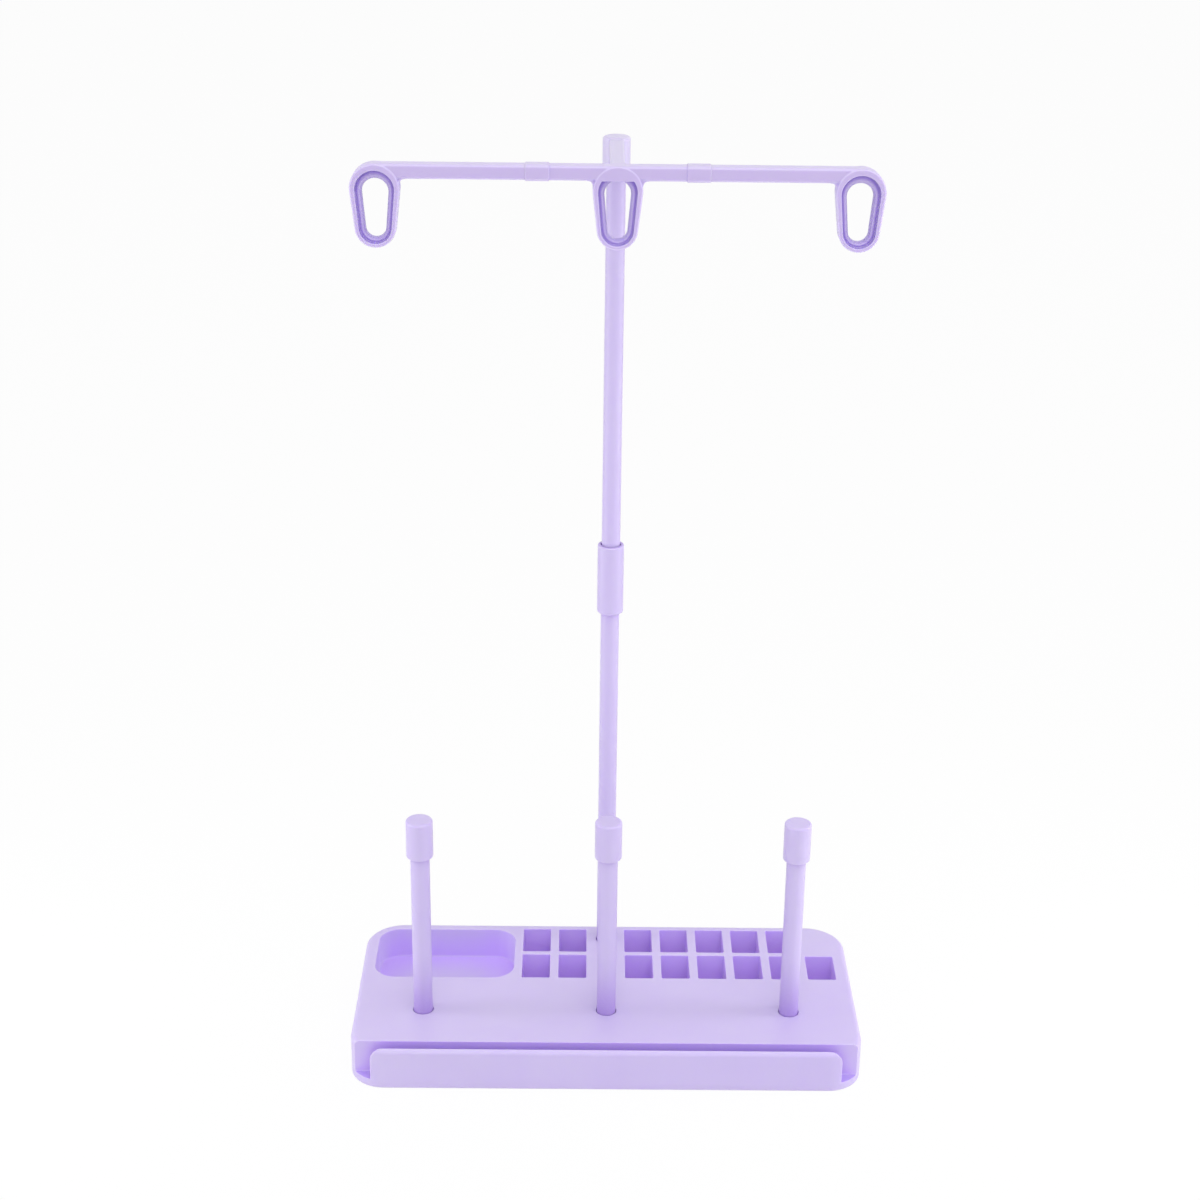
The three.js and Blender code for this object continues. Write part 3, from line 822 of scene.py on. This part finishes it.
def front_wall():
    """The wall as a solid that runs on before the base's front, so that only its edges show."""
    sections = [(-2 * PAST, WALL_EDGE_ROUND)]
    outer = [(WALL_EDGE_ROUND - rise, inset) for rise, inset in quarter(WALL_EDGE_ROUND)]
    inner = [
        (WALL_THICKNESS - WALL_EDGE_ROUND + rise, inset) for rise, inset in quarter(WALL_EDGE_ROUND)
    ]
    sections += outer[::-1] + inner
    return loft([
        [wall_point(x, z, depth) for x, z in panel_outline(inset)] for depth, inset in sections
    ][::-1])


def pattern_slot_cutter():
    corners = [
        (BASE_FRONT - PAST, LIP_THICKNESS, 0),
        (BLOCK_FRONT, LIP_THICKNESS, SLOT_FOOT_FILLET),
        (BLOCK_FRONT, DECK_TOP - BLOCK_EDGE_ROUND, 0),
    ]
    profile = round_corners(corners, EDGE_STEPS, closed=False)
    for rise, grow in list(quarter(BLOCK_EDGE_ROUND))[1:]:
        profile.append((BLOCK_FRONT + grow, DECK_TOP - BLOCK_EDGE_ROUND + rise))
    profile += [
        (BLOCK_FRONT + BLOCK_EDGE_ROUND, DECK_TOP + PAST),
        (BASE_FRONT - PAST, DECK_TOP + PAST),
    ]
    end = BASE_LENGTH / 2 + PAST
    region = loft([[(x, y, z) for y, z in profile] for x in (-end, end)])
    return cut(region, front_wall())


def block(x_min, x_max, y_min, y_max, z_min, z_max):
    outline = [(x_min, y_min), (x_max, y_min), (x_max, y_max), (x_min, y_max)]
    return level_loft([(z_min, outline), (z_max, outline)])


def sockets():
    pins = [(x, PIN_Y, PIN_RADIUS + CLEARANCE) for x in PIN_XS]
    return pins + [(0.0, POLE_Y, LOWER_POLE_RADIUS + CLEARANCE)]


def pocket_housings():
    """Walls round the tray and the bobbin slots, as they stand under the deck."""
    low = POCKET_BOTTOM - POCKET_FLOOR
    high = DECK_TOP + PAST
    wall = POCKET_WALL
    front_radius = TRAY_RADIUS + wall
    tray = rectangle(
        TRAY_LEFT - wall, TRAY_RIGHT + wall, TRAY_FRONT - wall, BASE_BACK,
        front_radius, 0, CORNER_STEPS,
    )
    row_front = POCKET_BACK - BOBBIN_LENGTH
    right = POLE_LAND / 2 + BOBBIN_WIDTH
    back_end = right + (RIGHT_BACK_COLUMNS - 1) * BOBBIN_PITCH
    front_end = right + (RIGHT_COLUMNS - 1) * BOBBIN_PITCH
    low_y = POCKET_FRONT - wall
    return [
        level_loft([(low, tray), (high, tray)]),
        block(TRAY_RIGHT - wall, -POLE_LAND / 2 + wall, low_y, BASE_BACK, low, high),
        block(POLE_LAND / 2 - wall, back_end + wall, row_front - wall, BASE_BACK, low, high),
        block(POLE_LAND / 2 - wall, front_end + wall, low_y, row_front + wall, low, high),
    ]


def underside_cutter():
    roof = DECK_TOP - DECK_THICKNESS
    inner = base_outline(SKIRT_WALL)
    cavity = level_loft([(-PAST, inner), (roof, inner)])
    half = RIB_THICKNESS / 2
    end = BASE_LENGTH / 2
    kept = [
        block(-end, end, BASE_FRONT - PAST, BLOCK_FRONT + SKIRT_WALL, -2 * PAST, DECK_TOP),
        block(-end, end, POCKET_BACK + POCKET_WALL, BASE_BACK, -2 * PAST, DECK_TOP),
        *pocket_housings(),
        block(-end - PAST, end + PAST, PIN_Y - half, PIN_Y + half, RIB_LIFT, DECK_TOP + PAST),
    ]
    for x in PIN_XS:
        rib = (x - half, x + half, BLOCK_FRONT, POCKET_FRONT, RIB_LIFT, DECK_TOP + PAST)
        kept.append(block(*rib))
    for x, y, radius in sockets():
        boss = circle(x, y, radius + BOSS_WALL)
        kept.append(level_loft([(SOCKET_SEAT - SOCKET_FLOOR, boss), (DECK_TOP + PAST, boss)]))
    for piece in kept:
        cavity = cut(cavity, piece)
    return cavity


def make_base():
    pockets = [bobbin_cutter(left, back) for left, back in bobbin_slots()]
    pockets.append(
        pocket_cutter(tray_outline, POCKET_BOTTOM, TRAY_FLOOR_FILLET, POCKET_RIM_ROUND)
    )
    pockets += [socket_cutter(*socket) for socket in sockets()]
    housing = cut(base_body(), pattern_slot_cutter())
    housing = cut(housing, underside_cutter())
    housing = cut(housing, merged(pockets))
    shape = bmesh.new()
    shape.from_mesh(housing)
    bmesh.ops.remove_doubles(shape, verts=shape.verts, dist=MERGED_WITHIN_M)
    bmesh.ops.dissolve_degenerate(shape, edges=shape.edges, dist=SHORTEST_EDGE_M)
    bmesh.ops.triangulate(shape, faces=[f for f in shape.faces if len(f.verts) > 4])
    shape.to_mesh(housing)
    shape.free()
    smooth_by_angle(place_piece("moulded_base", housing, "base", "housing"))


def turned_piece(name, corners, node, body, x, y):
    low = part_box(node)[0][2] / MM
    piece = place_piece(name, moved(turned(corners), x, y, low), node, body)
    smooth_by_angle(piece)
    return piece


def mark_shaft(piece):
    """Let the material know the pieces that stand in the base."""
    mark = piece.data.attributes.new(SHAFT_MARK, "FLOAT", "POINT")
    mark.data.foreach_set("value", [1.0] * len(piece.data.vertices))


def make_pins():
    bore = PIN_RADIUS + CLEARANCE
    for side, x in zip(("left", "middle", "right"), PIN_XS):
        pin_node = f"spool_pin_{side}"
        low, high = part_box(pin_node)
        length = (high[2] - low[2]) / MM
        shaft = [
            (0, 0, 0),
            (PIN_RADIUS, 0, SHAFT_END_ROUND),
            (PIN_RADIUS, length, SHAFT_END_ROUND),
            (0, length, 0),
        ]
        mark_shaft(turned_piece(f"pin_shaft_{side}", shaft, pin_node, f"pin_{side}", x, PIN_Y))
        cap_node = f"spool_cap_{side}"
        low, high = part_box(cap_node)
        radius = (high[0] - low[0]) / 2 / MM
        height = (high[2] - low[2]) / MM
        cap = [
            (0, CAP_BORE_DEPTH, 0),
            (bore, CAP_BORE_DEPTH, 0),
            (bore, 0, CAP_BORE_ROUND),
            (bore + CAP_LIP_WALL, 0, CAP_LIP_ROUND),
            (bore + CAP_LIP_WALL, CAP_LIP_HEIGHT, CAP_LIP_FILLET),
            (radius, CAP_LIP_HEIGHT + CAP_SHOULDER, CAP_SHOULDER / 2),
            (radius, height, CAP_TOP_ROUND),
            (0, height, 0),
        ]
        turned_piece(f"pin_cap_{side}", cap, cap_node, f"cap_{side}", x, PIN_Y)


def make_poles():
    low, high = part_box("pole_lower")
    top = (high[2] - low[2]) / MM
    outer = (high[0] - low[0]) / 2 / MM
    foot = top - COUPLER_LENGTH
    bore = UPPER_POLE_RADIUS + CLEARANCE
    lower = [
        (0, 0, 0),
        (LOWER_POLE_RADIUS, 0, SHAFT_END_ROUND),
        (LOWER_POLE_RADIUS, foot, COUPLER_FOOT_FILLET),
        (outer, foot + COUPLER_SHOULDER, COUPLER_SHOULDER / 2),
        (outer, top, COUPLER_RIM_ROUND),
        (bore, top, COUPLER_BORE_ROUND),
        (bore, top - COUPLER_BORE_DEPTH, 0),
        (0, top - COUPLER_BORE_DEPTH, 0),
    ]
    mark_shaft(turned_piece("pole_with_coupler", lower, "pole_lower", "lower_pole", 0, POLE_Y))
    low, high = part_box("pole_upper")
    length = (high[2] - low[2]) / MM
    upper = [
        (0, 0, 0),
        (UPPER_POLE_RADIUS, 0, SHAFT_END_ROUND),
        (UPPER_POLE_RADIUS, length, SHAFT_END_ROUND),
        (0, length, 0),
    ]
    turned_piece("pole_top_shaft", upper, "pole_upper", "upper_pole", 0, POLE_Y)


# Guide bar as distances to its surfaces, in mm, negative inside


def rounded_corner(past_u, past_v, radius):
    """Distance to a rounded corner, from how far a point lies past its two inner sides."""
    outside = np.hypot(np.maximum(past_u, 0), np.maximum(past_v, 0))
    return outside + np.minimum(np.maximum(past_u, past_v), 0) - radius


def box_2d(u, v, half_u, half_v, radius):
    return rounded_corner(np.abs(u) - half_u + radius, np.abs(v) - half_v + radius, radius)


def extruded(flat, along, half, radius):
    """Flat shape's distance carried half way to each side, with rounded end edges."""
    return rounded_corner(flat + radius, np.abs(along) - half + radius, radius)


def tapered_oval(x, z, top_z, top_radius, bottom_z, bottom_radius):
    height = top_z - bottom_z
    px = np.abs(x)
    pz = z - bottom_z
    b = (bottom_radius - top_radius) / height
    a = math.sqrt(1 - b * b)
    k = -b * px + a * pz
    low = np.hypot(px, pz) - bottom_radius
    high = np.hypot(px, pz - height) - top_radius
    side = a * px + b * pz - bottom_radius
    return np.where(k < 0, low, np.where(k > a * height, high, side))


def blended(a, b, width):
    """Union of two distances with a soft fillet where they meet."""
    h = np.maximum(width - np.abs(a - b), 0) / width
    return np.minimum(a, b) - h * h * width / 4


def without(a, b, width):
    """One distance with another taken away, the edge between them rounded."""
    return -blended(-a, b, width)


def bar_section(y, z, swell):
    middle = -BAR_HEIGHT / 2
    half = BAR_THICKNESS / 2 + swell
    half_height = BAR_HEIGHT / 2 + swell
    return box_2d(y, z - middle, half, half_height, BAR_EDGE_ROUND + swell)


def eye_plate(x, y, z):
    top = -EYE_TOP_RADIUS
    bottom = EYE_BOTTOM_RADIUS - EYE_HEIGHT
    oval = tapered_oval(x, z, top, EYE_TOP_RADIUS, bottom, EYE_BOTTOM_RADIUS)
    return extruded(oval, y, EYE_THICKNESS / 2, EYE_EDGE_ROUND)


def eye_hole(x, y, z):
    """Sunk mouth in front, a bead that rolls into the throat, and a rounded lip at the back."""
    mouth = tapered_oval(
        x, z, -EYE_TOP_RIM - MOUTH_TOP_RADIUS, MOUTH_TOP_RADIUS,
        EYE_BOTTOM_RIM + MOUTH_BOTTOM_RADIUS - EYE_HEIGHT, MOUTH_BOTTOM_RADIUS,
    )
    throat = tapered_oval(
        x, z, -THROAT_TOP_RIM - THROAT_TOP_RADIUS, THROAT_TOP_RADIUS,
        THROAT_BOTTOM_RIM + THROAT_BOTTOM_RADIUS - EYE_HEIGHT, THROAT_BOTTOM_RADIUS,
    )
    half = EYE_THICKNESS / 2
    roll_width = throat - mouth
    inward = (np.maximum(-mouth, 0) / roll_width - ROLL_CREST_SHARE) / (1 - ROLL_CREST_SHARE)
    ahead = np.maximum(MOUTH_RECESS + THROAT_ROLL_DEPTH - half - y, 0) / THROAT_ROLL_DEPTH
    roll = (1 - np.hypot(inward, ahead)) * np.minimum(roll_width, THROAT_ROLL_DEPTH)
    opening = -blended(-roll, -mouth, MOUTH_FOOT_ROUND)
    lip = (throat - BACK_LIP_ROUND + (half - y)) / math.sqrt(2)
    return blended(opening, lip, BACK_LIP_ROUND)


def fillet_web(x, y, z):
    """Fillet under the bar where it meets the eye's right side."""
    edge = EYE_TOP_RADIUS + BAR_FILLET
    low = -BAR_HEIGHT - BAR_FILLET
    high = -BAR_HEIGHT / 2
    flat = box_2d(x - EYE_TOP_RADIUS, z - (low + high) / 2, BAR_FILLET, (high - low) / 2, 0.0)
    hollow = np.hypot(x - edge, z - low) - BAR_FILLET
    half = EYE_THICKNESS / 2 - EYE_EDGE_ROUND
    return extruded(np.maximum(flat, -hollow), y, half, WEB_EDGE_ROUND)


def tenon_shape(y, z, grow):
    middle = -BAR_HEIGHT / 2
    return box_2d(
        y, z - middle, TENON_THICKNESS / 2 + grow, TENON_HEIGHT / 2 + grow, TENON_ROUND,
    )


def head_field(x, y, z):
    side = np.abs(x)
    bar = extruded(bar_section(y, z, 0.0), x, SLEEVE_START + OVERLAP, 0.0)
    middle = (SLEEVE_START + SLEEVE_END) / 2
    half = (SLEEVE_END - SLEEVE_START) / 2
    sleeve = extruded(bar_section(y, z, SLEEVE_SWELL), side - middle, half, SLEEVE_END_ROUND)
    arm_width = ARM_TIP_WIDTH + (ARM_ROOT_WIDTH - ARM_TIP_WIDTH) * y / ARM_REACH
    arm = box_2d(x, z + BAR_HEIGHT / 2, arm_width / 2, BAR_HEIGHT / 2, ARM_EDGE_ROUND)
    arm = np.maximum(arm, np.abs(y - ARM_REACH / 2) - ARM_REACH / 2)

    around = np.hypot(x, y - ARM_REACH)
    middle_z = (HEAD_CROWN - HEAD_HEIGHT) / 2
    half_height = (HEAD_CROWN + HEAD_HEIGHT) / 2
    socket = extruded(around - HEAD_RADIUS, z - middle_z, half_height, HEAD_TOP_ROUND)
    bore_radius = UPPER_POLE_RADIUS + CLEARANCE
    bore = np.maximum(around - bore_radius, z + HEAD_HEIGHT - HEAD_BORE_DEPTH)

    below_bar = np.maximum(eye_hole(x, y, z), z + BAR_HEIGHT)
    eye = without(eye_plate(x, y, z), below_bar, MOUTH_ROUND)
    body = blended(blended(bar, fillet_web(side, y, z), WEB_BLEND), eye, EYE_BLEND)
    arm_behind_face = np.maximum(arm, -(y - BAR_THICKNESS / 2 + BAR_EDGE_ROUND))
    body = blended(body, arm_behind_face, ARM_BLEND)
    body = np.maximum(body, z)
    body = blended(body, socket, SOCKET_BLEND)
    body = np.minimum(body, sleeve)
    body = without(body, bore, BORE_RIM_ROUND)
    pocket = np.maximum(tenon_shape(y, z, CLEARANCE), SLEEVE_END - TENON_LENGTH - side)
    return without(body, pocket, TENON_POCKET_ROUND)


def left_arm_field(x, y, z):
    shoulder = EYE_PITCH - SLEEVE_END - SEAM_GAP
    bar = extruded(bar_section(y, z, 0.0), x - shoulder / 2, shoulder / 2, SHOULDER_ROUND)
    plug_middle = shoulder + TENON_LENGTH / 2 - OVERLAP
    plug_half = TENON_LENGTH / 2 + OVERLAP
    plug = extruded(tenon_shape(y, z, 0.0), x - plug_middle, plug_half, TENON_ROUND)
    bar = blended(bar, fillet_web(x, y, z), WEB_BLEND)
    body = blended(bar, eye_plate(x, y, z), EYE_BLEND)
    body = np.maximum(body, z)
    body = without(body, eye_hole(x, y, z), MOUTH_ROUND)
    return np.minimum(body, plug)


def spaced(start, *stretches):
    """Grid lines along an axis: stretches (end, step) one after the other from the start."""
    lines = [np.array([start])]
    for end, step in stretches:
        count = max(1, round((end - start) / step))
        lines.append(np.linspace(start, end, count + 1)[1:])
        start = end
    return np.concatenate(lines)


def seam(place, margin):
    """Stretches with long steps up to a seam and short ones across it."""
    return (place - margin, LONG_STEP), (place + margin, SEAM_STEP)


def surface_net(field, xs, ys, zs):
    """Mesh of the surface where a field is zero, with one vertex in each grid cell it crosses."""
    axes = (xs, ys, zs)
    values = field(*np.meshgrid(xs, ys, zs, indexing="ij"))
    shape = tuple(len(a) - 1 for a in axes)
    total = np.zeros(shape + (3,))
    count = np.zeros(shape)
    crossings = []
    for axis in range(3):
        low = np.take(values, range(len(axes[axis]) - 1), axis)
        high = np.take(values, range(1, len(axes[axis])), axis)
        nodes = np.argwhere((low < 0) != (high < 0))
        a = low[tuple(nodes.T)]
        share = a / (a - high[tuple(nodes.T)])
        points = np.stack([axes[i][nodes[:, i]] for i in range(3)], 1)
        line = axes[axis]
        points[:, axis] += share * (line[nodes[:, axis] + 1] - line[nodes[:, axis]])
        u, v = (axis + 1) % 3, (axis + 2) % 3
        cells = []
        for du, dv in ((0, 0), (-1, 0), (-1, -1), (0, -1)):
            cell = nodes.copy()
            cell[:, u] += du
            cell[:, v] += dv
            np.add.at(total, tuple(cell.T), points)
            np.add.at(count, tuple(cell.T), 1)
            cells.append(cell)
        crossings.append((cells, a < 0))
    number = -np.ones(shape, int)
    used = count > 0
    number[used] = np.arange(used.sum())
    vertices = total[used] / count[used][:, None]
    faces = []
    for cells, solid_below in crossings:
        quads = np.stack([number[tuple(cell.T)] for cell in cells], 1)
        faces.append(np.where(solid_below[:, None], quads, quads[:, ::-1]))
    return vertices, np.concatenate(faces)


def slope(field, points):
    """Direction in which a field grows, from differences over a short reach."""
    parts = []
    for axis in range(3):
        step = np.zeros(3)
        step[axis] = SLOPE_REACH
        parts.append(field(*(points + step).T) - field(*(points - step).T))
    return np.stack(parts, 1) / (2 * SLOPE_REACH)


def field_piece(name, field, axes, node, body, origin, mirror=False):
    """Piece from a distance field: netted, pulled onto its surface and shaded by the field."""
    points, quads = surface_net(field, *axes)
    for _ in range(PULL_ROUNDS):
        away = slope(field, points)
        steepness = np.maximum((away ** 2).sum(1), LEAST_STEEPNESS)
        push = away * (field(*points.T) / steepness)[:, None]
        length = np.maximum(np.linalg.norm(push, axis=1)[:, None], SHORTEST_PUSH)
        points = points - push * np.minimum(1.0, LONGEST_PULL / length)
    normals = slope(field, points)
    if mirror:
        points = points * (-1, 1, 1)
        normals = normals * (-1, 1, 1)
        quads = quads[:, ::-1]
    normals /= np.linalg.norm(normals, axis=1)[:, None]
    mesh = mesh_of(points + np.array(origin), quads.tolist())
    mesh.shade_smooth()
    mesh.normals_split_custom_set_from_vertices(normals.tolist())
    return place_piece(name, mesh, node, body)


def make_guides():
    top = frame_top()
    eye_y = POLE_Y - ARM_REACH
    ys = spaced(-GRID_HALF_DEPTH, (GRID_HALF_DEPTH, FINE_STEP))
    zs = spaced(GRID_LOW, (GRID_HIGH, FINE_STEP))
    ring = EYE_TOP_RADIUS + BAR_FILLET + RING_MARGIN
    half_line = spaced(
        0.0, (ring, FINE_STEP), *seam(SLEEVE_START, GRID_MARGIN),
        *seam(SLEEVE_END - TENON_LENGTH, POCKET_MARGIN), *seam(SLEEVE_END, GRID_MARGIN),
    )
    head_xs = np.concatenate([-half_line[:0:-1], half_line])
    head_ys = spaced(
        -GRID_HALF_DEPTH, (GRID_HALF_DEPTH, FINE_STEP),
        (ARM_REACH - HEAD_RADIUS - SOCKET_MARGIN, LONG_STEP),
        (ARM_REACH + HEAD_RADIUS + GRID_MARGIN, FINE_STEP),
    )
    field_piece(
        "guide_head_moulding", head_field, (head_xs, head_ys, zs), "guide_head", "head",
        (0.0, eye_y, top),
    )

    shoulder = EYE_PITCH - SLEEVE_END - SEAM_GAP
    tip = shoulder + TENON_LENGTH
    arm_xs = spaced(
        -EYE_TOP_RADIUS - GRID_MARGIN, (ring, FINE_STEP), *seam(shoulder, GRID_MARGIN),
        (tip - TENON_TIP_MARGIN, LONG_STEP), (tip + GRID_MARGIN, 2 * SEAM_STEP),
    )
    for side, place_x in (("left", -EYE_PITCH), ("right", EYE_PITCH)):
        field_piece(
            f"side_arm_{side}", left_arm_field, (arm_xs, ys, zs), f"guide_arm_{side}",
            f"{side}_arm", (place_x, eye_y, top), mirror=side == "right",
        )


bpy.context.scene.view_settings.view_transform = "Standard"
make_camera()
make_world()
make_floor()
for lamp in LAMPS:
    add_lamp(*lamp)

plastic = moulded_plastic()
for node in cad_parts.values():
    node.data.materials.clear()
    node.data.materials.append(plastic)
make_base()
make_pins()
make_poles()
make_guides()

bpy.context.view_layer.update()
